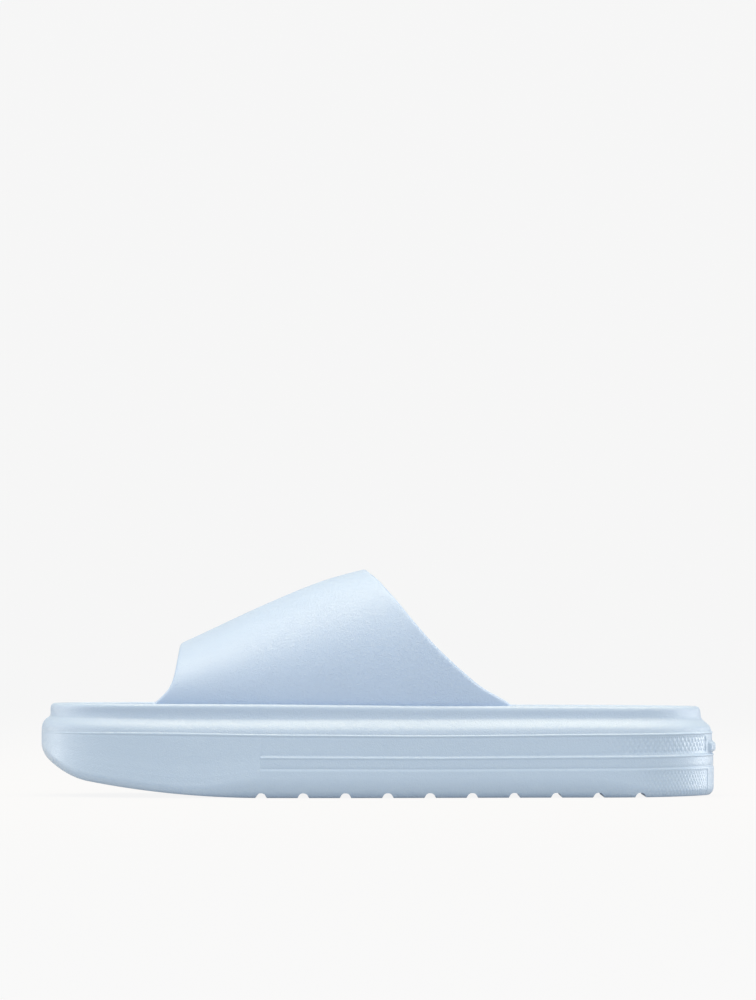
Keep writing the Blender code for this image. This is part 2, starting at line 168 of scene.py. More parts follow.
WALL_STEPS = tuple(
    WallStep(height * MM, inset * MM, toe * MM)
    for height, inset, toe in (
        (26.00, 0.92, 0.92),
        (25.88, 0.72, 0.72),
        (25.70, 0.57, 0.57),
        (25.48, 0.52, 0.52),
        (25.28, 0.57, 0.57),
        (25.12, 0.70, 0.70),
        (24.98, 0.80, 0.79),
        (24.70, 0.80, 0.78),
        (24.20, 0.72, 0.70),
        (18.60, 0.72, 0.58),
        (17.90, 0.74, 0.57),
        (17.50, 0.76, 0.56),
        (17.20, 0.72, 0.56),
        (16.98, 0.58, 0.55),
        (16.78, 0.26, 0.55),
        (16.60, 0.04, 0.54),
        (16.30, 0.02, 0.53),
        (16.10, 0.08, 0.52),
        (15.92, 0.19, 0.51),
        (15.60, 0.22, 0.50),
        (15.20, 0.20, 0.48),
        (12.90, 0.20, 0.30),
        (12.35, 0.25, 0.27),
        (12.00, 0.34, 0.25),
        (11.80, 0.31, 0.23),
        (11.50, 0.14, 0.21),
        (11.20, 0.03, 0.18),
        (10.80, 0.00, 0.14),
        (8.00, 0.00, 0.00),
    )
)

SHOULDER_DROPS = tuple(
    ShoulderDrop(along, drop * MM)
    for along, drop in (
        (0.00, 0.00),
        (0.10, 0.95),
        (0.17, 1.20),
        (0.32, 1.00),
        (0.50, 0.50),
        (0.65, 0.15),
        (0.80, 0.00),
        (1.00, 0.00),
    )
)

FOOTBED = tuple(
    Footbed(*row)
    for row in (
        (0.00, 0.030, 0.000),
        (0.12, 0.072, 0.000),
        (0.30, 0.082, 0.000),
        (0.45, 0.066, 0.022),
        (0.60, 0.062, 0.040),
        (0.75, 0.088, 0.014),
        (0.88, 0.098, 0.000),
        (1.00, 0.030, 0.000),
    )
)

CROWN = tuple(
    Crown(*row)
    for row in (
        (0.100, 0.540),
        (0.200, 0.662),
        (0.340, 0.853),
        (0.420, 0.949),
        (0.477, 0.996),
        (0.600, 1.075),
        (0.750, 1.150),
    )
)

STRAP_EDGES = tuple(
    StrapEdge(*row)
    for row in (
        (0.00, 0.1610, 0.7060),
        (0.02, 0.1730, 0.6895),
        (0.05, 0.1805, 0.6755),
        (0.10, 0.1895, 0.6595),
        (0.17, 0.1965, 0.6430),
        (0.30, 0.2020, 0.6140),
        (0.46, 0.2055, 0.5820),
        (0.62, 0.2080, 0.5545),
        (0.77, 0.2090, 0.5305),
        (0.87, 0.2100, 0.5130),
        (0.94, 0.2105, 0.5005),
        (1.00, 0.2110, 0.4855),
    )
)


def smooth_curve(rows: Sequence[NamedTuple], column: str, at: float | np.ndarray) -> np.ndarray:
    """Reads a column of a table as a cubic curve over the table's first column.

    Args:
        rows: The table, in rising order of its first column.
        column: Name of the column to read.
        at: Place or places along the first column.

    Returns:
        The column's value at each place, flat where the column turns back.
    """
    places = np.array([row[0] for row in rows])
    values = np.array([getattr(row, column) for row in rows])
    steps = np.diff(places)
    slopes = np.diff(values) / steps
    tangents = np.concatenate([slopes[:1], (slopes[:-1] + slopes[1:]) / 2, slopes[-1:]])
    turns = np.where(slopes[:-1] * slopes[1:] <= 0)[0] + 1
    tangents[turns] = 0.0
    at = np.clip(np.asarray(at, float), places[0], places[-1])
    k = np.clip(np.searchsorted(places, at, side="right") - 1, 0, len(steps) - 1)
    t = (at - places[k]) / steps[k]
    start = (1 + 2 * t) * (1 - t) ** 2 * values[k] + t * (1 - t) ** 2 * steps[k] * tangents[k]
    end = t**2 * (3 - 2 * t) * values[k + 1] - t**2 * (1 - t) * steps[k] * tangents[k + 1]
    return start + end


def smooth_step(share: np.ndarray) -> np.ndarray:
    """Eases a share from 0 to 1."""
    share = np.clip(share, 0, 1)
    return share * share * (3 - 2 * share)


@dataclass
class SoleForm:
    """Plan and side lines of the whole sole, fitted to the frame's boxes."""

    toe_x: float
    length: float
    height: float
    box_width: float
    toe_round: float = 0.235
    toe_power: float = 2.25
    heel_round: float = 0.175
    heel_power: float = 2.15
    toe_spring: float = 10.4 * MM
    spring_start: float = 90.0 * MM
    spring_power: float = 1.95
    bow_rise: float = 7.2 * MM
    bow_length: float = 20.0 * MM
    heel_bevel: float = 0.6 * MM
    heel_bevel_length: float = 45.0 * MM
    band_start: float = 89.0 * MM
    midsole_inset: float = 0.8 * MM
    rim_inset_toe: float = 3.4 * MM
    rim_inset_heel: float = 4.6 * MM
    tip_rim: float = 1.05
    tip_from: float = 0.6
    tip_blend: float = 0.3
    rim_width: float = 3.4 * MM
    tray_floor: float = 3.0 * MM
    ball_width: float = field(init=False)
    plan_middle: float = field(init=False)

    def __post_init__(self) -> None:
        """Works out the ball width that fills the frame's box."""
        shares = (1 - np.cos(np.linspace(0, math.pi, 400))) / 2
        half, centre = self.unit_plan(shares)
        highest, lowest = (centre + half).max(), (centre - half).min()
        self.ball_width = self.box_width / (highest - lowest)
        self.plan_middle = self.ball_width * (highest + lowest) / 2

    @classmethod
    def from_frame(cls, pad_proud: float) -> "SoleForm":
        """Reads the sole's overall sizes from the frame.

        Args:
            pad_proud: How far the heel pad stands behind the sole.

        Returns:
            The form that the dressed pieces are built on.
        """
        low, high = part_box("outsole")
        rim_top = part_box("midsole")[1].z
        return cls(toe_x=low.x, length=high.x - low.x - pad_proud, height=rim_top, box_width=high.y - low.y)

    def unit_plan(self, share: np.ndarray) -> tuple[np.ndarray, np.ndarray]:
        """Half width and centre line of the plan, as shares of the ball width.

        Args:
            share: Places as shares of the length.

        Returns:
            The half widths and the centres.
        """
        toe = 1 - np.clip(1 - share / self.toe_round, 0, 1) ** self.toe_power
        heel = 1 - np.clip(1 - (1 - share) / self.heel_round, 0, 1) ** self.heel_power
        ends = toe ** (1 / self.toe_power) * heel ** (1 / self.heel_power)
        return smooth_curve(SECTIONS, "half", share) * ends, smooth_curve(SECTIONS, "centre", share)

    def share_at(self, x: np.ndarray) -> np.ndarray:
        """Share of the length at a place, 0 at the toe and 1 at the heel."""
        return (np.asarray(x, float) - self.toe_x) / self.length

    def rim_height(self, x: np.ndarray) -> np.ndarray:
        """Crest of the rim."""
        return self.height * smooth_curve(SECTIONS, "rim", self.share_at(x))

    def parting_height(self, x: np.ndarray) -> np.ndarray:
        """Line between the outsole and the midsole."""
        return self.height * smooth_curve(SECTIONS, "parting", self.share_at(x))

    def floor_height(self, x: np.ndarray) -> np.ndarray:
        """Underside of the outsole: flat, sprung and bowed up at the toe, a little bevelled at the heel.

        Args:
            x: Places along the sole.

        Returns:
            Its height at each place.
        """
        x = np.asarray(x, float)
        spring = np.clip((self.toe_x + self.spring_start - x) / self.spring_start, 0, None)
        bevel_start = self.toe_x + self.length - self.heel_bevel_length
        bevel = np.clip((x - bevel_start) / self.heel_bevel_length, 0, None)
        bow = np.clip((self.toe_x + self.bow_length - x) / self.bow_length, 0, None)
        raised = self.toe_spring * spring**self.spring_power + self.bow_rise * bow**2
        return raised + self.heel_bevel * bevel**2


class Outline:
    """The sole's outline at chosen stations: the outer side from toe to heel, then the inner side back."""

    def __init__(self, form: SoleForm, spacing: Callable[[np.ndarray], np.ndarray]) -> None:
        """Lays stations along the outline.

        Args:
            form: Plan of the sole.
            spacing: Distance wanted between stations at each place along the sole.
        """
        self.form = form
        fine = (1 - np.cos(np.linspace(0, math.pi, 6001))) / 2
        outer = self._side(fine, -1)
        inner = self._side(fine, 1)
        lengths = [np.linalg.norm(np.diff(side, axis=0), axis=1) for side in (outer, inner)]
        steps = sum(lengths) / 2
        middles = (outer[1:, 0] + outer[:-1, 0]) / 2
        wanted = np.concatenate([[0], np.cumsum(steps / spacing(middles))])
        count = int(wanted[-1])
        shares = np.interp(np.linspace(0, wanted[-1], count + 1), wanted, fine)
        self.stations = count + 1
        self.share = np.concatenate([shares, shares[-2:0:-1]])
        self.points = np.concatenate([self._side(shares, -1), self._side(shares, 1)[-2:0:-1]])
        self.out = self._outward()
        lengths = np.linalg.norm(np.roll(self.points, -1, axis=0) - self.points, axis=1)
        place = np.concatenate([[0], np.cumsum(lengths)[:-1]])
        self.from_heel = place - place[count]

    def _side(self, share: np.ndarray, sign: int) -> np.ndarray:
        """Points of one side, -1 for the outer and 1 for the inner.

        Args:
            share: Places as shares of the length.
            sign: Which side.

        Returns:
            A row for each point.
        """
        half, centre = self.form.unit_plan(share)
        x = self.form.toe_x + share * self.form.length
        return np.column_stack([x, self.form.ball_width * (centre + sign * half) - self.form.plan_middle])

    def _outward(self) -> np.ndarray:
        """Outward direction at each station.

        Returns:
            A row for each station, of length 1.
        """
        ahead, behind = np.roll(self.points, -1, axis=0), np.roll(self.points, 1, axis=0)
        after = np.linalg.norm(ahead - self.points, axis=1)[:, None]
        before = np.linalg.norm(self.points - behind, axis=1)[:, None]
        tangent = (ahead - self.points) / after * before + (self.points - behind) / before * after
        normal = np.column_stack([tangent[:, 1], -tangent[:, 0]])
        return normal / np.linalg.norm(normal, axis=1, keepdims=True)

    @property
    def x(self) -> np.ndarray:
        """Place of each station along the sole."""
        return self.points[:, 0]

    def step_fade(self) -> np.ndarray:
        """Share of the wall's steps: none at the toe's tip, all from the band on."""
        return np.clip((self.x - self.form.toe_x) / self.form.band_start, 0, 1) ** 0.5

    def inset(self, distance: float | np.ndarray) -> np.ndarray:
        """The outline moved inwards."""
        return self.points - self.out * np.broadcast_to(distance, len(self.points))[:, None]

    def midsole_inset(self) -> np.ndarray:
        """From the outline in to the midsole's wall."""
        return self.form.midsole_inset * self.step_fade()

    def rim_inset(self, toe: float, heel: float) -> np.ndarray:
        """From the midsole's wall in to its shoulder or rim, blended from toe to heel, upright at the tip.

        Args:
            toe: Share of the toe's inset.
            heel: Share of the heel's inset.

        Returns:
            The distance at each station.
        """
        tip = smooth_step((-self.out[:, 0] - self.form.tip_from) / self.form.tip_blend)
        start = self.form.rim_inset_toe * (toe + (min(toe, self.form.tip_rim) - toe) * tip)
        end = self.form.rim_inset_heel * heel
        return start + (end - start) * np.clip(self.share, 0, 1)

    def tray_inset(self) -> np.ndarray:
        """From the outline in to the tray's wall."""
        return self.midsole_inset() + self.rim_inset(1.0, 1.0) + self.form.rim_width

    def towards_spine(self, loop: np.ndarray, share: float) -> np.ndarray:
        """A loop drawn in towards the sole's spine, halfway between its sides, 1 being on it."""
        other_side = loop[-np.arange(len(loop)) % len(loop)]
        return loop + ((loop + other_side) / 2 - loop) * share


def ring(loop: np.ndarray, height: float | np.ndarray) -> np.ndarray:
    """A loop at one height, or one height for each point."""
    return np.column_stack([loop, np.broadcast_to(height, len(loop))])


class Workbench:
    """Modelling by operators: loops laid on points, extruded, closed and finished."""

    COLUMN = "column"
    LOOP_REACH = 12 * MM
    MERGE = 0.002 * MM
    SLIVER = 0.001 * MM

    @staticmethod
    def clear_selection() -> None:
        """Leaves edit mode and deselects everything."""
        if bpy.context.object and bpy.context.object.mode != "OBJECT":
            bpy.ops.object.mode_set(mode="OBJECT")
        bpy.ops.object.select_all(action="DESELECT")

    @classmethod
    def choose(cls, piece: bpy.types.Object) -> None:
        """Makes one piece the selected and active one."""
        cls.clear_selection()
        piece.select_set(True)
        bpy.context.view_layer.objects.active = piece

    @classmethod
    def start_loop(cls, name: str, points: np.ndarray) -> bpy.types.Object:
        """Adds a circle and lays its corners on the points, in edit mode with all of it selected.

        Args:
            name: Name of the new piece.
            points: One corner of the loop for each row.

        Returns:
            The new piece, its object at the origin.
        """
        cls.clear_selection()
        middle = points.mean(axis=0)
        radius = np.ptp(points[:, 0]) / 2
        bpy.ops.mesh.primitive_circle_add(vertices=len(points), radius=radius, location=middle)
        piece = bpy.context.object
        piece.name = piece.data.name = name
        bpy.ops.object.transform_apply(location=True, rotation=True, scale=True)
        piece.data.vertices.foreach_set("co", points.astype(np.float32).ravel())
        columns = piece.data.attributes.new(cls.COLUMN, "INT", "POINT")
        columns.data.foreach_set("value", np.arange(len(points), dtype=np.int32))
        bpy.ops.object.mode_set(mode="EDIT")
        bpy.ops.mesh.select_all(action="SELECT")
        return piece

    @classmethod
    def extrude_loop(cls, piece: bpy.types.Object, points: np.ndarray) -> None:
        """Extrudes the selected open loop and lays the new one on the points."""
        bpy.ops.mesh.extrude_region_move()
        cls.lay_selected(piece, points)

    @classmethod
    def lay_selected(cls, piece: bpy.types.Object, points: np.ndarray) -> None:
        """Moves the selected corners to their columns' points.

        Args:
            piece: The piece that is being edited.
            points: A point for each column.
        """
        form = bmesh.from_edit_mesh(piece.data)
        column = form.verts.layers.int[cls.COLUMN]
        for vert in form.verts:
            if vert.select:
                vert.co = points[vert[column]]
        bmesh.update_edit_mesh(piece.data)

    @classmethod
    def select_edges(cls, piece: bpy.types.Object, wanted: Callable[[bmesh.types.BMEdge], bool]) -> None:
        """Selects edges and nothing else, in edit mode.

        Args:
            piece: The piece that is being edited.
            wanted: Tells whether an edge is to be selected.
        """
        bpy.ops.mesh.select_all(action="DESELECT")
        form = bmesh.from_edit_mesh(piece.data)
        for edge in form.edges:
            if wanted(edge):
                edge.select = True
        form.select_flush(True)
        bmesh.update_edit_mesh(piece.data)

    @classmethod
    def select_open_loop(cls, piece: bpy.types.Object, height: float) -> None:
        """Selects the open edges near a height."""
        cls.select_edges(
            piece, lambda edge: edge.is_boundary and abs(edge.verts[0].co.z - height) < cls.LOOP_REACH
        )

    @classmethod
    def draw_in(cls, piece: bpy.types.Object, rings: Sequence[np.ndarray]) -> None:
        """Closes a face of the sole: the open loop is extruded inwards to the spine and its sides merge.

        Args:
            piece: The piece that is being edited.
            rings: The loops from the edge inwards.
        """
        for points in rings:
            cls.extrude_loop(piece, points)
        bpy.ops.mesh.remove_doubles(threshold=cls.MERGE)

    @classmethod
    def finish_mesh(cls, piece: bpy.types.Object, sharp_degrees: float) -> None:
        """Merges doubles, turns the faces outwards and shades the piece smooth up to an angle.

        Args:
            piece: The piece.
            sharp_degrees: Edges with a greater angle stay sharp.
        """
        cls.choose(piece)
        bpy.ops.object.mode_set(mode="EDIT")
        bpy.ops.mesh.select_all(action="SELECT")
        bpy.ops.mesh.remove_doubles(threshold=cls.MERGE)
        bpy.ops.mesh.dissolve_degenerate(threshold=cls.SLIVER)
        bpy.ops.mesh.normals_make_consistent(inside=False)
        bpy.ops.object.mode_set(mode="OBJECT")
        bpy.ops.object.shade_smooth_by_angle(angle=math.radians(sharp_degrees))

    @classmethod
    def close_slits(cls, piece: bpy.types.Object, reach: float) -> None:
        """Merges the corners round hair-thin slits, which a cut can leave between slender faces.

        Args:
            piece: The piece.
            reach: Greatest width of a slit.
        """
        cls.choose(piece)
        bpy.ops.object.mode_set(mode="EDIT")
        bpy.ops.mesh.select_mode(type="VERT")
        bpy.ops.mesh.select_all(action="DESELECT")
        bpy.ops.mesh.select_non_manifold()
        bpy.ops.mesh.remove_doubles(threshold=reach)
        bpy.ops.object.mode_set(mode="OBJECT")

    @classmethod
    def apply_all(cls, piece: bpy.types.Object) -> None:
        """Applies a piece's modifiers in order."""
        cls.choose(piece)
        for name in [modifier.name for modifier in piece.modifiers]:
            bpy.ops.object.modifier_apply(modifier=name)

    @classmethod
    def subdivide(cls, piece: bpy.types.Object, levels: int) -> None:
        """Rounds a piece with an applied subdivision surface."""
        modifier = piece.modifiers.new("rounding", "SUBSURF")
        modifier.levels = modifier.render_levels = levels
        cls.apply_all(piece)


def feed(node: bpy.types.Node, inputs: dict[str | int, object]) -> None:
    """Fills inputs of a shader node.

    Args:
        node: The node.
        inputs: For each input a constant, or the output of another node to link.
    """
    for label, value in inputs.items():
        if isinstance(value, bpy.types.NodeSocket):
            node.id_data.links.new(value, node.inputs[label])
        else:
            node.inputs[label].default_value = value


def add_node(
    tree: bpy.types.NodeTree, kind: str, inputs: dict[str | int, object], **settings: object
) -> bpy.types.Node:
    """Adds a shader node and fills its inputs.

    Args:
        tree: Nodes of a material, a group or the surround.
        kind: Type of the node.
        inputs: For each input a constant, or the output of another node to link.
        settings: Values of the node's own properties.

    Returns:
        The new node.
    """
    node = tree.nodes.new(kind)
    for name, value in settings.items():
        setattr(node, name, value)
    feed(node, inputs)
    return node


def add_math(tree: bpy.types.NodeTree, operation: str, *operands: object) -> bpy.types.NodeSocket:
    """Adds a Math node on numbers or other nodes' outputs, and returns its output."""
    return add_node(tree, "ShaderNodeMath", dict(enumerate(operands)), operation=operation).outputs[0]


class GrainKind(Enum):
    """How a foam surface is textured: the share of soft cells against wrinkles."""

    LEATHER = 0.15
    PEBBLE = 0.85
    SATIN = 0.4


@dataclass(frozen=True)
class FoamFinish:
    """Finish of one moulded foam piece."""

    name: str
    colour: tuple[float, float, float]
    grain: GrainKind
    grain_size: float
    grain_depth: float
    roughness: float = 0.40
    gloss: float = 0.9
    mottle: float = 0.035
    subsurface: float = 0.10


@dataclass
class FinishShop:
    """Builds the shared node groups once and a material for each finish."""

    wrinkle_detail: float = 4.0
    wrinkle_roughness: float = 0.62
    wrinkle_warp: float = 0.9
    wrinkle_height: float = 3.2
    cell_density: float = 1.4
    cell_softness: float = 0.6
    pit_detail: float = 2.0
    pit_height: float = 0.4
    cloud_scale: float = 38.0
    cloud_detail: float = 3.0
    speckle_scale: float = 900.0
    speckle_detail: float = 2.0
    speckle_share: float = 0.5
    # Pointiness tones paint light and shade: painted shade darkens inner corners, a painted highlight
    # lightens outer edges.
    corner_point: float = 0.42
    corner_shade_tone: float = 0.90
    edge_point: float = 0.58
    edge_tone: float = 1.07
    roughness_swing: float = 0.05
    scatter_radius: tuple[float, float, float] = (1.0, 1.1, 1.3)
    scatter_scale: float = 1.2 * MM
    grain: bpy.types.NodeTree = field(init=False)
    mottle: bpy.types.NodeTree = field(init=False)
    edge_light_and_shade: bpy.types.NodeTree = field(init=False)

    def __post_init__(self) -> None:
        """Makes the groups that all materials share."""
        self.grain = self._grain_group()
        self.mottle = self._mottle_group()
        self.edge_light_and_shade = self._edge_group()

    @staticmethod
    def _new_group(
        name: str, inputs: dict[str, str], outputs: dict[str, str]
    ) -> tuple[bpy.types.NodeTree, bpy.types.Node, bpy.types.Node]:
        """Makes an empty shader group with named sockets.

        Args:
            name: Name of the group.
            inputs: Socket types by name.
            outputs: Socket types by name.

        Returns:
            The group, its input node and its output node.
        """
        group = bpy.data.node_groups.new(name, "ShaderNodeTree")
        for side, sockets in (("INPUT", inputs), ("OUTPUT", outputs)):
            for label, kind in sockets.items():
                group.interface.new_socket(label, in_out=side, socket_type=kind)
        return group, group.nodes.new("NodeGroupInput"), group.nodes.new("NodeGroupOutput")

    def _grain_group(self) -> bpy.types.NodeTree:
        """Makes the foam's skin: short wrinkles between soft cells, and a fine pitting over both.

        Returns:
            The group, which puts out a height.
        """
        group, start, end = self._new_group(
            "foam_grain",
            {"Vector": "NodeSocketVector", "Scale": "NodeSocketFloat", "Cells": "NodeSocketFloat"},
            {"Height": "NodeSocketFloat"},
        )
        place, scale = start.outputs["Vector"], start.outputs["Scale"]
        wrinkled = {
            "Vector": place,
            "Scale": scale,
            "Detail": self.wrinkle_detail,
            "Roughness": self.wrinkle_roughness,
            "Distortion": self.wrinkle_warp,
        }
        wrinkle = add_node(group, "ShaderNodeTexNoise", wrinkled).outputs["Fac"]
        ridge = add_math(group, "ABSOLUTE", add_math(group, "SUBTRACT", wrinkle, 0.5))
        ridge = add_math(group, "MULTIPLY", ridge, self.wrinkle_height)
        dense = add_math(group, "MULTIPLY", scale, self.cell_density)
        soft = {"Vector": place, "Scale": dense, "Smoothness": self.cell_softness}
        cells = add_node(group, "ShaderNodeTexVoronoi", soft, feature="SMOOTH_F1").outputs["Distance"]
        blend = {"Factor": start.outputs["Cells"], "A": ridge, "B": cells}
        skin = add_node(group, "ShaderNodeMix", blend).outputs["Result"]
        pitted = {"Vector": place, "Scale": scale, "Detail": self.pit_detail}
        pits = add_node(group, "ShaderNodeTexNoise", pitted).outputs["Fac"]
        pits = add_math(group, "MULTIPLY", pits, self.pit_height)
        feed(end, {"Height": add_math(group, "ADD", skin, pits)})
        return group

    def _mottle_group(self) -> bpy.types.NodeTree:
        """Makes the slow and the fine variation of a moulded foam's colour.

        Returns:
            The group, which puts out a colour.
        """
        group, start, end = self._new_group(
            "foam_mottle",
            {"Vector": "NodeSocketVector", "Color": "NodeSocketColor", "Amount": "NodeSocketFloat"},
            {"Color": "NodeSocketColor"},
        )
        place = start.outputs["Vector"]
        slow = {"Vector": place, "Scale": self.cloud_scale, "Detail": self.cloud_detail}
        clouds = add_node(group, "ShaderNodeTexNoise", slow).outputs["Fac"]
        fine = {"Vector": place, "Scale": self.speckle_scale, "Detail": self.speckle_detail}
        speckle = add_node(group, "ShaderNodeTexNoise", fine).outputs["Fac"]
        both = add_math(group, "ADD", clouds, add_math(group, "MULTIPLY", speckle, self.speckle_share))
        centred = add_math(group, "SUBTRACT", both, (1 + self.speckle_share) / 2)
        value = add_math(group, "MULTIPLY_ADD", centred, start.outputs["Amount"], 1.0)
        tint = add_node(group, "ShaderNodeHueSaturation", {"Value": value, "Color": start.outputs["Color"]})
        feed(end, {"Color": tint.outputs["Color"]})
        return group

    def _edge_group(self) -> bpy.types.NodeTree:
        """Makes a painted highlight on outer edges and painted shade in inner corners, from the mesh's own
        pointiness.

        Returns:
            The group, which puts out a colour.
        """
        sockets = {"Color": "NodeSocketColor"}
        group, start, end = self._new_group("edge_tone", sockets, sockets)
        levels = {
            "Value": group.nodes.new("ShaderNodeNewGeometry").outputs["Pointiness"],
            "From Min": self.corner_point,
            "From Max": self.edge_point,
            "To Min": self.corner_shade_tone,
            "To Max": self.edge_tone,
        }
        tone = add_node(group, "ShaderNodeMapRange", levels).outputs["Result"]
        tint = add_node(group, "ShaderNodeHueSaturation", {"Value": tone, "Color": start.outputs["Color"]})
        feed(end, {"Color": tint.outputs["Color"]})
        return group

    def material(self, finish: FoamFinish) -> bpy.types.Material:
        """Builds the material of one foam finish.

        Args:
            finish: Colour, grain and gloss of the piece.

        Returns:
            A node material that reads Object coordinates.
        """
        made = bpy.data.materials.new(finish.name)
        made.use_nodes = True
        tree = made.node_tree
        place = tree.nodes.new("ShaderNodeTexCoord").outputs["Object"]
        tones = {"Vector": place, "Color": (*finish.colour, 1.0), "Amount": finish.mottle}
        mottle = add_node(tree, "ShaderNodeGroup", tones, node_tree=self.mottle)
        # Painted highlight on outer edges and painted shade in inner corners, read from pointiness.
        edge_lit_and_shaded = add_node(tree, "ShaderNodeGroup", {"Color": mottle.outputs["Color"]}, node_tree=self.edge_light_and_shade)
        skin = {"Vector": place, "Scale": 1 / finish.grain_size, "Cells": finish.grain.value}
        height = add_node(tree, "ShaderNodeGroup", skin, node_tree=self.grain).outputs["Height"]
        swing = {
            "Value": height,
            "To Min": finish.roughness - self.roughness_swing,
            "To Max": finish.roughness + self.roughness_swing,
        }
        rough = add_node(tree, "ShaderNodeMapRange", swing)
        relief = {"Height": height, "Strength": 1.0, "Distance": finish.grain_depth}
        bump = add_node(tree, "ShaderNodeBump", relief)
        looks = {
            "Base Color": edge_lit_and_shaded.outputs["Color"],
            "Roughness": rough.outputs["Result"],
            "Normal": bump.outputs["Normal"],
            "Specular IOR Level": finish.gloss,
            "Subsurface Weight": finish.subsurface,
            "Subsurface Radius": self.scatter_radius,
            "Subsurface Scale": self.scatter_scale,
        }
        feed(tree.nodes["Principled BSDF"], looks)
        return made


def dress(piece: bpy.types.Object, node: str, material: bpy.types.Material) -> None:
    """Gives a piece its material and ties it to the frame.

    Args:
        piece: The finished piece.
        node: The CAD node that it stands for.
        material: Its finish.
    """
    piece.data.materials.clear()
    piece.data.materials.append(material)
    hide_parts(node)
    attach(piece, BODY)
    LOG.info("%s: %d faces", piece.name, len(piece.data.polygons))


@dataclass(frozen=True)
class Crosshatch:
    """Pitch, depth and place of one field of the heel's crosshatch."""

    across: float
    up: float
    depth: float
    start: float
    full: float


@dataclass
class Outsole:
    """Foam cup sole: stepped wall with a side band, crosshatched heel, bare heel pad and grooved tread."""

    form: SoleForm
    column_spacing: float = 1.3 * MM
    heel_spacing: float = 0.34 * MM
    band_edge: float = 0.5 * MM
    row_spacing: float = 0.42 * MM
    edge_tuck: float = 4.8 * MM
    edge_roll: float = 8.0 * MM
    crisp_tuck: float = 2.4 * MM
    crisp_roll: float = 3.6 * MM
    crisp_toe: float = -78.0 * MM
    crisp_heel: float = 116.0 * MM
    crisp_blend: float = 34.0 * MM
    settle: float = 2.8 * MM
    last_rows: float = 2.2
    roll_rows: int = 14
    spine_rows: int = 10
    fine_from: float = 86.0 * MM
    upper_hatch: Crosshatch = Crosshatch(
        across=2.2 * MM, up=3.5 * MM, depth=0.34 * MM, start=84.0 * MM, full=112.0 * MM
    )
    lower_hatch: Crosshatch = Crosshatch(
        across=1.75 * MM, up=2.8 * MM, depth=0.30 * MM, start=98.0 * MM, full=114.0 * MM
    )
    upper_from: float = 17.6 * MM
    upper_to: float = 24.6 * MM
    lower_to: float = 11.0 * MM
    hatch_fade: float = 0.5 * MM
    hatch_top_fade: float = 0.4 * MM
    hatch_turn: float = 1.25
    hatch_turn_fade: float = 0.5
    pad_width: float = 26.0 * MM
    pad_height: float = 3.8 * MM
    pad_middle: float = 19.9 * MM
    pad_proud: float = 0.7 * MM
    pad_edge: float = 1.6 * MM
    panel_half: float = 16.0 * MM
    panel_line: float = 0.5 * MM
    panel_groove: float = 0.38 * MM
    panel_ridge: float = 0.26 * MM
    groove_count: int = 10
    groove_pitch: float = 16.76 * MM
    groove_first: float = 89.2 * MM
    groove_width: float = 4.6 * MM
    groove_top_width: float = 2.5 * MM
    groove_round: float = 0.9 * MM
    groove_depth: float = 1.9 * MM
    slit: float = 0.4 * MM
    outline: Outline = field(init=False)

    def __post_init__(self) -> None:
        """Lays the stations, close together at the heel and where the band starts."""
        band = self.form.toe_x + self.form.band_start

        def spacing(x: np.ndarray) -> np.ndarray:
            """Distance between stations at a place along the sole."""
            wanted = np.where(x > self.fine_from, self.heel_spacing, self.column_spacing)
            return np.where(np.abs(x - band) < 3 * self.band_edge, self.band_edge / 2, wanted)

        self.outline = Outline(self.form, spacing)

    def _hatch(self, height: np.ndarray, hatch: Crosshatch) -> np.ndarray:
        """Depth of a crosshatch at each station: small pyramids between crossing V grooves.

        Args:
            height: The row's height at each station.
            hatch: Pitch and place of the pattern.

        Returns:
            The depth, faded in towards the heel and none on the rear panel.
        """
        across = self.outline.from_heel / hatch.across
        lines = [across + height / hatch.up, across - height / hatch.up]
        towers = [2 * np.abs(line - np.round(line)) for line in lines]
        fade = smooth_step((self.outline.x - hatch.start) / (hatch.full - hatch.start))
        spared = smooth_step((np.abs(self.outline.from_heel) - self.panel_half) / self.panel_line)
        return hatch.depth * (1 - np.minimum(*towers)) * fade * spared

    def _relief(self, inset: np.ndarray, height: np.ndarray, upper: float, lower: float) -> np.ndarray:
        """Adds crosshatch, panel lines and heel pad to a row's inset.

        Args:
            inset: The plain wall's inset at each station.
            height: The row's height at each station.
            upper: Share of the upper crosshatch that the row carries.
            lower: Share of the lower crosshatch that the row carries.

        Returns:
            The inset with its relief.
        """
        from_heel = np.abs(self.outline.from_heel)
        inset = inset + self._hatch(height, self.upper_hatch) * upper
        inset = inset + self._hatch(height, self.lower_hatch) * lower
        line = 1 - smooth_step(np.abs(from_heel - self.panel_half) / (1.5 * self.panel_line))
        inset = inset + line * (self.panel_groove * lower - self.panel_ridge * upper)
        across = smooth_step((self.pad_width / 2 - from_heel) / self.pad_edge + 0.5)
        up = smooth_step((self.pad_height / 2 - np.abs(height - self.pad_middle)) / self.pad_edge + 0.5)
        return inset + (-self.pad_proud - inset) * across * up

    def _wall_heights(self) -> np.ndarray:
        """Row heights from the top down: every corner of the wall and rows between them.

        Returns:
            The heights.
        """
        rows = []
        for upper, lower in zip(WALL_STEPS, WALL_STEPS[1:]):
            drawn_out = self.last_rows if lower is WALL_STEPS[-1] else 1
            count = max(1, round((upper.height - lower.height) / self.row_spacing * drawn_out))
            rows.extend(np.linspace(upper.height, lower.height, count, endpoint=False))
        return np.array(rows + [WALL_STEPS[-1].height])

    def _roll(self) -> tuple[np.ndarray, np.ndarray]:
        """Tuck and height of the rolled lower edge at each station, crisper at the toe and the heel.

        Returns:
            The tucks and the heights.
        """
        from_toe, from_heel = self.outline.x - self.crisp_toe, self.crisp_heel - self.outline.x
        soft = smooth_step(from_toe / self.crisp_blend) * smooth_step(from_heel / self.crisp_blend)
        tuck = self.crisp_tuck + (self.edge_tuck - self.crisp_tuck) * soft
        roll = self.crisp_roll + (self.edge_roll - self.crisp_roll) * soft
        return tuck, roll

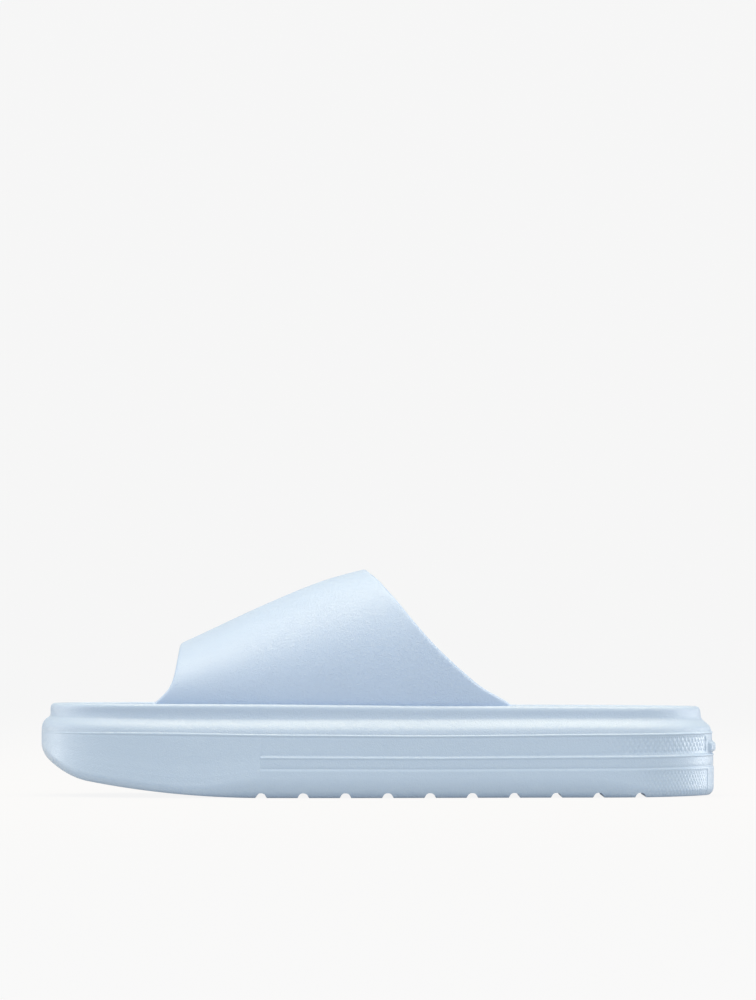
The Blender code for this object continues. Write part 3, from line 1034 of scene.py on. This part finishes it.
    def _wall_rings(self) -> list[np.ndarray]:
        """Rings of the wall, from the parting line down to the rolled edge.

        Returns:
            The rings in order.
        """
        line = self.outline
        top = self.form.parting_height(line.x) - GAP
        dip = top / top[line.stations - 1]
        roll = self._roll()[1]
        seat = np.where(line.x < 0, roll, self.edge_roll)
        lowest = self.form.floor_height(line.x) + seat
        band = smooth_step((line.x - self.form.toe_x - self.form.band_start) / self.band_edge + 0.5)
        heights = np.array([step.height for step in WALL_STEPS])[::-1]
        banded = np.array([step.inset for step in WALL_STEPS])[::-1]
        plain = np.array([step.toe for step in WALL_STEPS])[::-1]
        rings = []
        for height in self._wall_heights():
            dipped = (height * dip - self.edge_roll) / (top - self.edge_roll)
            even = (height - self.edge_roll) / (top[line.stations - 1] - self.edge_roll)
            share = even + (dipped - even) * smooth_step((height - self.edge_roll) / self.settle)
            last = np.clip((self.edge_roll + self.settle - height) / self.settle, 0, 1)
            level = lowest + (top - lowest) * share - (seat - roll) * last
            toe_inset, band_inset = np.interp(height, heights, plain), np.interp(height, heights, banded)
            inset = (toe_inset + (band_inset - toe_inset) * band) * line.step_fade()
            upper = smooth_step((height - self.upper_from) / self.hatch_fade)
            upper = upper * smooth_step((self.upper_to - height) / self.hatch_top_fade)
            lower = smooth_step((self.lower_to - height) / self.hatch_fade)
            rings.append(ring(line.inset(self._relief(inset, level, upper, lower)), level))
        return rings

    def _roll_rings(self) -> list[np.ndarray]:
        """Rings round the lower edge, on to the tread.

        Returns:
            The rings in order.
        """
        tuck, roll = self._roll()
        rings = []
        for turn in np.linspace(0, math.pi / 2, self.roll_rows + 1)[1:]:
            lower = smooth_step((self.hatch_turn - turn) / self.hatch_turn_fade)
            plain = tuck * (1 - math.cos(turn))
            flat = self.outline.inset(plain)
            level = self.form.floor_height(flat[:, 0]) + roll * (1 - math.sin(turn))
            rings.append(ring(self.outline.inset(self._relief(plain, level, 0.0, lower)), level))
        return rings

    def _tread_rings(self, edge: np.ndarray) -> list[np.ndarray]:
        """Rings of the tread, drawn in to the spine.

        Args:
            edge: The ring that the tread starts from.

        Returns:
            The rings in order.
        """
        rings = []
        for share in np.linspace(0, 1, self.spine_rows + 1)[1:]:
            loop = self.outline.towards_spine(edge[:, :2], share)
            rings.append(ring(loop, self.form.floor_height(loop[:, 0])))
        return rings

    def _top_rings(self, edge: np.ndarray) -> list[np.ndarray]:
        """Rings of the covered top, drawn in to the spine."""
        return [self.outline.towards_spine(edge, share) for share in (0.5, 1)]

    def _groove_bar(self) -> bpy.types.Object:
        """Models one bar across the tread, narrower and rounded at its top.

        Returns:
            The bar in the first groove.
        """
        Workbench.clear_selection()
        middle = self.form.toe_x + self.groove_first
        # Half of the bar is below the floor, so this width at its foot makes groove_width at the floor.
        wide = 2 * self.groove_width - self.groove_top_width
        bpy.ops.mesh.primitive_cube_add(size=1, location=(middle, 0, 0))
        bar = bpy.context.object
        bar.name = "groove_cutter"
        bar.scale = (wide, 2 * self.form.box_width, 2 * self.groove_depth)
        bpy.ops.object.transform_apply(location=False, rotation=False, scale=True)
        bpy.ops.object.mode_set(mode="EDIT")
        bpy.ops.mesh.select_all(action="DESELECT")
        form = bmesh.from_edit_mesh(bar.data)
        for face in form.faces:
            face.select = face.normal.z > 0.9
        bmesh.update_edit_mesh(bar.data)
        bpy.ops.transform.resize(value=(self.groove_top_width / wide, 1, 1))
        form = bmesh.from_edit_mesh(bar.data)
        for edge in form.edges:
            ends = [vert.co for vert in edge.verts]
            edge.select = all(end.z > 0 for end in ends) and ends[0].y * ends[1].y < 0
        form.select_flush(True)
        bmesh.update_edit_mesh(bar.data)
        bpy.ops.mesh.bevel(offset=self.groove_round, segments=4)
        bpy.ops.object.mode_set(mode="OBJECT")
        return bar

    def _cut_grooves(self, piece: bpy.types.Object) -> None:
        """Cuts the straight grooves across the tread."""
        bar = self._groove_bar()
        Workbench.choose(bar)
        for _ in range(self.groove_count - 1):
            bpy.ops.object.duplicate()
            bpy.ops.transform.translate(value=(self.groove_pitch, 0, 0))
        Workbench.clear_selection()
        for other in bpy.data.objects:
            other.select_set(other.name.startswith("groove_cutter"))
        bpy.context.view_layer.objects.active = bar
        bpy.ops.object.join()
        cut = piece.modifiers.new("grooves", "BOOLEAN")
        cut.operation = "DIFFERENCE"
        cut.solver = "EXACT"
        cut.object = bar
        Workbench.apply_all(piece)
        Workbench.close_slits(piece, self.slit)
        bpy.data.objects.remove(bar, do_unlink=True)

    def build(self) -> bpy.types.Object:
        """Models the outsole.

        Returns:
            The finished mesh object.
        """
        rings = self._wall_rings() + self._roll_rings()
        piece = Workbench.start_loop("outsole_foam_shell", rings[0])
        for points in rings[1:]:
            Workbench.extrude_loop(piece, points)
        Workbench.draw_in(piece, self._tread_rings(rings[-1]))
        Workbench.select_open_loop(piece, rings[0][:, 2].mean())
        Workbench.draw_in(piece, self._top_rings(rings[0]))
        Workbench.finish_mesh(piece, sharp_degrees=50)
        self._cut_grooves(piece)
        Workbench.finish_mesh(piece, sharp_degrees=50)
        return piece


@dataclass
class Midsole:
    """Upper frame of the sole: shoulder, rim and the tray that holds the insole."""

    form: SoleForm
    column_spacing: float = 2.6 * MM
    seat_gap: float = 0.05 * MM
    tray_rows: int = 2
    levels: int = 2
    drop_full: float = 0.25
    drop_end: float = 0.72
    drop_fade: float = 0.16
    foot_holding: float = 0.12
    drawn_holding: float = 0.03
    outline: Outline = field(init=False)

    def __post_init__(self) -> None:
        """Lays even stations."""
        self.outline = Outline(self.form, lambda x: np.full_like(x, self.column_spacing))

    def _rings(self) -> list[np.ndarray]:
        """Rings of the wall over the crest to the foot of the tray's wall.

        Returns:
            The rings in order.
        """
        line = self.outline
        rings = []
        for row in RIM_ROWS:
            inset = line.midsole_inset() + line.rim_inset(row.toe, row.heel) + self.form.rim_width * row.crest
            loop = line.inset(inset)
            low = self.form.parting_height(loop[:, 0])
            level = low + (self.form.rim_height(loop[:, 0]) - low) * row.rise
            lowered = smooth_step(row.rise / self.drop_full) * (row.crest == 0)
            lowered = lowered * smooth_step((self.drop_end - row.rise) / self.drop_fade)
            rings.append(ring(loop, level - smooth_curve(SHOULDER_DROPS, "drop", line.share) * lowered))
        foot = line.inset(line.tray_inset())
        rings.append(ring(foot, self.form.parting_height(foot[:, 0]) + self.form.tray_floor))
        return rings

    def _drawn(self, edge: np.ndarray, rows: int) -> list[np.ndarray]:
        """Rings from an edge in to the spine, at the edge's height."""
        shares = np.concatenate([[self.drawn_holding], np.linspace(0, 1, rows + 1)[1:]])
        return [self.outline.towards_spine(edge, share) for share in shares]

    def build(self) -> bpy.types.Object:
        """Models the midsole.

        Returns:
            The finished mesh object.
        """
        rings = self._rings()
        rings[0][:, 2] -= GAP - self.seat_gap
        piece = Workbench.start_loop("midsole_foam_rim", rings[0])
        holding = rings[0] + (rings[1] - rings[0]) * self.foot_holding
        for points in [holding, *rings[1:]]:
            Workbench.extrude_loop(piece, points)
        Workbench.draw_in(piece, self._drawn(rings[-1], self.tray_rows))
        Workbench.select_open_loop(piece, rings[0][:, 2].mean())
        Workbench.draw_in(piece, self._drawn(rings[0], 2))
        Workbench.finish_mesh(piece, sharp_degrees=180)
        Workbench.subdivide(piece, self.levels)
        Workbench.finish_mesh(piece, sharp_degrees=60)
        return piece


@dataclass
class Insole:
    """Contoured footbed in the tray, cut back where the strap's feet stand."""

    form: SoleForm
    strap: "Strap"
    column_spacing: float = 2.0 * MM
    below_rim: float = 3.4 * MM
    edge_round: float = 1.0 * MM
    edge_rows: int = 3
    floor_holding: float = 0.3 * MM
    pocket_ease: float = 1.0 * MM
    pocket_fade: float = 0.40
    cup_power: float = 2.6
    end_margin: float = 8.5 * MM
    end_reach: float = 26.0 * MM
    rows: int = 16
    levels: int = 1
    outline: Outline = field(init=False)

    def __post_init__(self) -> None:
        """Lays even stations, closer where the pockets end."""
        ends = [self.strap.foot_place("front"), self.strap.foot_place("back")]

        def spacing(x: np.ndarray) -> np.ndarray:
            """Distance between stations at a place along the sole."""
            near = np.minimum(np.abs(x - ends[0]), np.abs(x - ends[1])) < 2 * self.pocket_ease
            return np.where(near, self.pocket_ease / 3, self.column_spacing)

        self.outline = Outline(self.form, spacing)

    def _edge_inset(self) -> np.ndarray:
        """From the outline in to the insole's wall, with a pocket round each foot of the strap.

        Returns:
            The distance at each station.
        """
        front, back = self.strap.foot_place("front"), self.strap.foot_place("back")
        x = self.outline.x
        inside = smooth_step((x - front) / self.pocket_ease + 1)
        inside = inside * smooth_step((back - x) / self.pocket_ease + 1)
        return self.outline.tray_inset() + GAP + (self.strap.wall + GAP) * inside

    def _edge_height(self, x: np.ndarray) -> np.ndarray:
        """Top edge of the insole."""
        return self.form.rim_height(x) - self.below_rim

    def _bed_height(self, x: np.ndarray, across: np.ndarray) -> np.ndarray:
        """Top of the insole; across runs from -1 at the outer side to 1 at the inner side.

        Args:
            x: Places along the sole.
            across: Places across it, from -1 to 1.

        Returns:
            The height at each place.
        """
        share = self.form.share_at(x)
        hollow = self.form.height * smooth_curve(FOOTBED, "hollow", share)
        arch = self.form.height * smooth_curve(FOOTBED, "arch", share)
        inner = np.clip(across, 0, 1)
        from_end = np.minimum(share, 1 - share) * self.form.length - self.end_margin
        near_end = np.clip(1 - from_end / self.end_reach, 0, 1)
        edge_share = np.clip((np.abs(across) ** 3 + near_end**3) ** (1 / 3), 0, 1)
        cup = 1 - edge_share**self.cup_power
        return self._edge_height(x) - hollow * cup + arch * inner * (1 - inner**4)

    def build(self) -> bpy.types.Object:
        """Models the insole.

        Returns:
            The finished mesh object.
        """
        line = self.outline
        inset = self._edge_inset()
        wall = line.inset(inset)
        floor = self.form.parting_height(wall[:, 0]) + self.form.tray_floor + GAP
        edge = self._edge_height(wall[:, 0])
        rings = [ring(wall, height) for height in (floor, floor + self.floor_holding, edge - self.edge_round)]
        for turn in np.linspace(0, math.pi / 2, self.edge_rows + 1)[1:]:
            loop = line.inset(inset + self.edge_round * (1 - math.cos(turn)))
            rings.append(ring(loop, edge - self.edge_round * (1 - math.sin(turn))))
        piece = Workbench.start_loop("insole_foam_bed", rings[0])
        for points in rings[1:]:
            Workbench.extrude_loop(piece, points)
        top = rings[-1][:, :2]
        unpocketed = line.inset(line.tray_inset() + GAP + self.edge_round)
        side = np.where(np.arange(len(top)) < line.stations, -1.0, 1.0)
        bed = []
        for share in np.linspace(0, 1, self.rows + 1)[1:]:
            eased = top + (unpocketed - top) * smooth_step(share / self.pocket_fade)
            loop = line.towards_spine(eased, share)
            bed.append(ring(loop, self._bed_height(loop[:, 0], side * (1 - share))))
        Workbench.draw_in(piece, bed)
        Workbench.select_open_loop(piece, floor.mean())
        Workbench.draw_in(piece, [line.towards_spine(rings[0], share) for share in (0.5, 1)])
        Workbench.finish_mesh(piece, sharp_degrees=180)
        Workbench.subdivide(piece, self.levels)
        Workbench.finish_mesh(piece, sharp_degrees=60)
        return piece


@dataclass
class Strap:
    """The upper: one wide arch over the foot with rounded edges and two feet in the tray."""

    form: SoleForm
    height: float = 91.1 * MM
    wall: float = 4.6 * MM
    edge_round: float = 2.15 * MM
    spring: float = 1.5 * MM
    crown_shift: float = 0.06
    squareness: float = 2.35
    arch_rows: int = 64
    columns: int = 30
    edge_tries: int = 30
    levels: int = 1
    outline: Outline = field(init=False)

    def __post_init__(self) -> None:
        """Lays the stations that the last's sides are read from."""
        self.outline = Outline(self.form, lambda x: np.full_like(x, 0.8 * MM))

    def foot_place(self, edge: str) -> float:
        """Place of the front or back edge where the strap's foot meets the rim."""
        return self._edge_line(edge, self.form.height)

    def _edge_line(self, edge: str, height: float) -> float:
        """Place of the front or back edge at a height."""
        rise = (height - self.form.height) / (self.height - self.form.height)
        return self.form.toe_x + self.form.length * float(smooth_curve(STRAP_EDGES, edge, rise))

    def _sides(self, x: float) -> tuple[float, float]:
        """Places across of the tray's outer and inner wall.

        Args:
            x: Place along the sole.

        Returns:
            The two places.
        """
        loop = self.outline.inset(self.outline.tray_inset() + GAP)
        heel = self.outline.stations
        outer = loop[:heel]
        inner = np.concatenate([loop[heel - 1 :], loop[:1]])[::-1]
        return float(np.interp(x, outer[:, 0], outer[:, 1])), float(np.interp(x, inner[:, 0], inner[:, 1]))

    def _last_point(self, x: float, around: float) -> tuple[float, float]:
        """A point of the last at a place along it.

        Args:
            x: Place along the sole.
            around: From -1 at the outer foot, over the arch from 0 to pi, to pi + 1 at the inner foot.

        Returns:
            Its place across and its height.
        """
        outer, inner = self._sides(x)
        spring = float(self.form.rim_height(x)) + self.spring
        foot_end = float(self.form.parting_height(x)) + self.form.tray_floor + GAP
        if around < 0:
            return outer, spring + (foot_end - spring) * -around
        if around > math.pi:
            return inner, spring + (foot_end - spring) * (around - math.pi)
        crown = self.height * float(smooth_curve(CROWN, "height", self.form.share_at(x)))
        middle, half = (outer + inner) / 2, (inner - outer) / 2
        power = 2 / self.squareness
        swing, lift = math.cos(around), max(math.sin(around), 0.0)
        across = middle - half * math.copysign(abs(swing) ** power, swing)
        return across + half * self.crown_shift * lift**2, spring + (crown - spring) * lift**power

    def _edge_place(self, edge: str, around: float) -> float:
        """Where an edge meets one line of the last, found by repeated tries.

        Args:
            edge: Which edge, front or back.
            around: The line, as in _last_point.

        Returns:
            Its place along the sole.
        """
        place = self._edge_line(edge, self.height)
        for _ in range(self.edge_tries):
            place = self._edge_line(edge, self._last_point(place, around)[1])
        return place

    def _surface(self) -> np.ndarray:
        """Points of the outer surface, a row for each line over the arch.

        Returns:
            An array of rows of points.
        """
        feet = np.array([1.0, 0.66, 0.33])
        lines = np.concatenate([-feet, np.linspace(0, math.pi, self.arch_rows + 1), math.pi + feet[::-1]])
        rows = []
        for around in lines:
            ends = self._edge_place("front", around), self._edge_place("back", around)
            places = np.linspace(*ends, self.columns + 1)
            rows.append([(x, *self._last_point(x, around)) for x in places])
        return np.array(rows)

    def build(self) -> bpy.types.Object:
        """Models the strap.

        Returns:
            The finished mesh object.
        """
        surface = self._surface()
        Workbench.clear_selection()
        rows = len(surface) - 1
        bpy.ops.mesh.primitive_grid_add(x_subdivisions=self.columns, y_subdivisions=rows, size=self.height)
        piece = bpy.context.object
        piece.name = piece.data.name = "strap_foam_arch"
        piece.data.vertices.foreach_set("co", surface.astype(np.float32).ravel())
        piece.data.update()
        bpy.ops.object.mode_set(mode="EDIT")
        bpy.ops.mesh.select_all(action="SELECT")
        bpy.ops.mesh.normals_make_consistent(inside=False)
        form = bmesh.from_edit_mesh(piece.data)
        crown = max(form.faces, key=lambda face: face.calc_center_median().z)
        if crown.normal.z < 0:
            bpy.ops.mesh.flip_normals()
        bpy.ops.object.mode_set(mode="OBJECT")
        thickness = piece.modifiers.new("wall", "SOLIDIFY")
        thickness.thickness = self.wall
        thickness.offset = -1.0
        thickness.use_even_offset = True
        edge = piece.modifiers.new("rounded_edges", "BEVEL")
        edge.width = self.edge_round
        edge.segments = 6
        edge.limit_method = "ANGLE"
        edge.angle_limit = math.radians(50)
        Workbench.apply_all(piece)
        Workbench.subdivide(piece, self.levels)
        Workbench.finish_mesh(piece, sharp_degrees=60)
        return piece


@dataclass
class Studio:
    """Pale floor and backdrop, soft lights and the photograph's camera."""

    camera_distance: float = 3.5
    camera_height: float = 67.5 * MM
    lens: float = 313.3
    sensor: float = 36.0
    horizon_below_middle: float = 127.7
    picture_height: float = 1000.0
    floor_front: float = 5.0
    floor_back: float = 4.0
    floor_half_width: float = 6.0
    backdrop_height: float = 4.0
    paper_tone: float = 0.36
    paper_roughness: float = 0.9
    paper_seen: float = 0.985
    backdrop_seen: float = 0.939
    shadow_share: float = 0.12
    floor_glow: float = 0.20
    sky_from: float = -0.1
    sky_to: float = 0.8
    sky_low: float = 0.82
    sky_high: float = 0.88

    def floor(self) -> None:
        """Lays a floor with the backdrop standing at its back edge."""
        Workbench.clear_selection()
        bpy.ops.mesh.primitive_plane_add(size=2)
        sheet = bpy.context.object
        sheet.name = sheet.data.name = "studio_floor"
        bpy.ops.object.mode_set(mode="EDIT")
        form = bmesh.from_edit_mesh(sheet.data)
        for vert in form.verts:
            vert.co.x *= self.floor_half_width
            vert.co.y = self.floor_back if vert.co.y > 0 else -self.floor_front
        bmesh.update_edit_mesh(sheet.data)
        Workbench.select_edges(sheet, lambda edge: all(vert.co.y > 0 for vert in edge.verts))
        bpy.ops.mesh.extrude_region_move(TRANSFORM_OT_translate={"value": (0, 0, self.backdrop_height)})
        bpy.ops.object.mode_set(mode="OBJECT")
        bpy.ops.object.shade_smooth()
        sheet.data.materials.append(self._paper_material())

    def _paper_material(self) -> bpy.types.Material:
        """Makes paper that the camera sees almost evenly lit, with only a faint shadow under the shoe.

        Returns:
            The paper's material.
        """
        paper = bpy.data.materials.new("pale_paper")
        paper.use_nodes = True
        tree = paper.node_tree
        lit = tree.nodes["Principled BSDF"]
        matte = {
            "Base Color": (self.paper_tone, self.paper_tone, self.paper_tone, 1),
            "Roughness": self.paper_roughness,
            "Specular IOR Level": 0.0,
            "Emission Color": (1, 1, 1, 1),
            "Emission Strength": self.floor_glow,
        }
        feed(lit, matte)
        seen = add_node(tree, "ShaderNodeEmission", {"Strength": self.paper_seen})
        ray = tree.nodes.new("ShaderNodeLightPath").outputs["Is Camera Ray"]
        share = add_math(tree, "MULTIPLY", ray, 1 - self.shadow_share)
        blend = {"Fac": share, 1: lit.outputs["BSDF"], 2: seen.outputs["Emission"]}
        mix = add_node(tree, "ShaderNodeMixShader", blend)
        feed(tree.nodes["Material Output"], {"Surface": mix.outputs["Shader"]})
        return paper

    @staticmethod
    def _soft_light(
        name: str, place: tuple, aim: tuple, size: tuple[float, float], power: float, colour: tuple
    ) -> None:
        """Adds a soft box.

        Args:
            name: Name of the light.
            place: Where it hangs.
            aim: The point it faces.
            size: Its width and height.
            power: Its power in watts.
            colour: The colour of its light.
        """
        Workbench.clear_selection()
        bpy.ops.object.light_add(type="AREA", location=place)
        light = bpy.context.object
        light.name = name
        light.data.shape = "RECTANGLE"
        light.data.size, light.data.size_y = size
        light.data.energy = power
        light.data.color = colour
        light.rotation_euler = (Vector(aim) - Vector(place)).to_track_quat("-Z", "Y").to_euler()

    def lights(self) -> None:
        """Hangs the soft boxes."""
        warm, white = (1.0, 0.81, 0.52), (1.0, 1.0, 1.0)
        self._soft_light("top_box", (0.0, 0.0, 1.5), (0, 0, 0), (2.4, 0.9), 28, warm)
        self._soft_light("front_box", (-0.3, -2.6, 1.0), (0, 0, 0.04), (1.6, 0.9), 9, white)
        self._soft_light("left_box", (-1.4, 0.75, 0.2), (0, 0, 0.03), (0.4, 0.4), 4, white)
        self._soft_light("right_box", (1.4, 0.7, 0.16), (0, 0, 0.03), (0.4, 0.3), 7, white)

    def surround(self) -> None:
        """Sets the surround: paper white to the camera, and a sky that is brighter overhead."""
        world = bpy.data.worlds.new("studio_surround")
        bpy.context.scene.world = world
        world.use_nodes = True
        tree = world.node_tree
        direction = tree.nodes.new("ShaderNodeTexCoord").outputs["Generated"]
        rise = {
            "Value": add_node(tree, "ShaderNodeSeparateXYZ", {0: direction}).outputs["Z"],
            "From Min": self.sky_from,
            "From Max": self.sky_to,
            "To Min": self.sky_low,
            "To Max": self.sky_high,
        }
        sky = add_node(tree, "ShaderNodeMapRange", rise).outputs["Result"]
        ray = tree.nodes.new("ShaderNodeLightPath").outputs["Is Camera Ray"]
        choice = add_node(tree, "ShaderNodeMix", {"Factor": ray, "A": sky, "B": self.backdrop_seen})
        glow = {"Color": (1, 1, 1, 1), "Strength": choice.outputs["Result"]}
        feed(tree.nodes["Background"], glow)
        bpy.context.scene.view_settings.view_transform = "Standard"

    def camera(self) -> None:
        """Sets the camera at the photograph's side view."""
        Workbench.clear_selection()
        rise = math.atan(self.horizon_below_middle / self.picture_height * self.sensor / self.lens)
        bpy.ops.object.camera_add(
            location=(0, -self.camera_distance, self.camera_height), rotation=(math.pi / 2 + rise, 0, 0)
        )
        eye = bpy.context.object
        eye.name = "side_camera"
        eye.data.lens = self.lens
        eye.data.sensor_width = self.sensor
        eye.data.clip_start, eye.data.clip_end = 0.1, 50.0
        bpy.context.scene.camera = eye


STRAP_FINISH = FoamFinish(
    "strap_foam", (0.432, 0.570, 0.780), GrainKind.LEATHER, 1.15 * MM, 0.17 * MM, gloss=0.7
)
OUTSOLE_FINISH = FoamFinish("outsole_foam", (0.446, 0.584, 0.760), GrainKind.SATIN, 0.9 * MM, 0.08 * MM)
MIDSOLE_FINISH = FoamFinish("midsole_foam", (0.432, 0.564, 0.742), GrainKind.LEATHER, 1.1 * MM, 0.13 * MM)
INSOLE_FINISH = FoamFinish("insole_foam", (0.412, 0.545, 0.735), GrainKind.PEBBLE, 1.2 * MM, 0.20 * MM)


def main() -> None:
    """Builds the slide around the frame and sets it in the studio."""
    logging.basicConfig(level=logging.INFO, format="%(name)s: %(message)s")
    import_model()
    form = SoleForm.from_frame(Outsole.pad_proud)
    studio = Studio()
    studio.camera()
    shop = FinishShop()
    strap = Strap(form)
    dress(Outsole(form).build(), "outsole", shop.material(OUTSOLE_FINISH))
    dress(Midsole(form).build(), "midsole", shop.material(MIDSOLE_FINISH))
    dress(Insole(form, strap).build(), "insole", shop.material(INSOLE_FINISH))
    dress(strap.build(), "strap", shop.material(STRAP_FINISH))
    studio.floor()
    studio.lights()
    studio.surround()


if __name__ == "__main__":
    main()
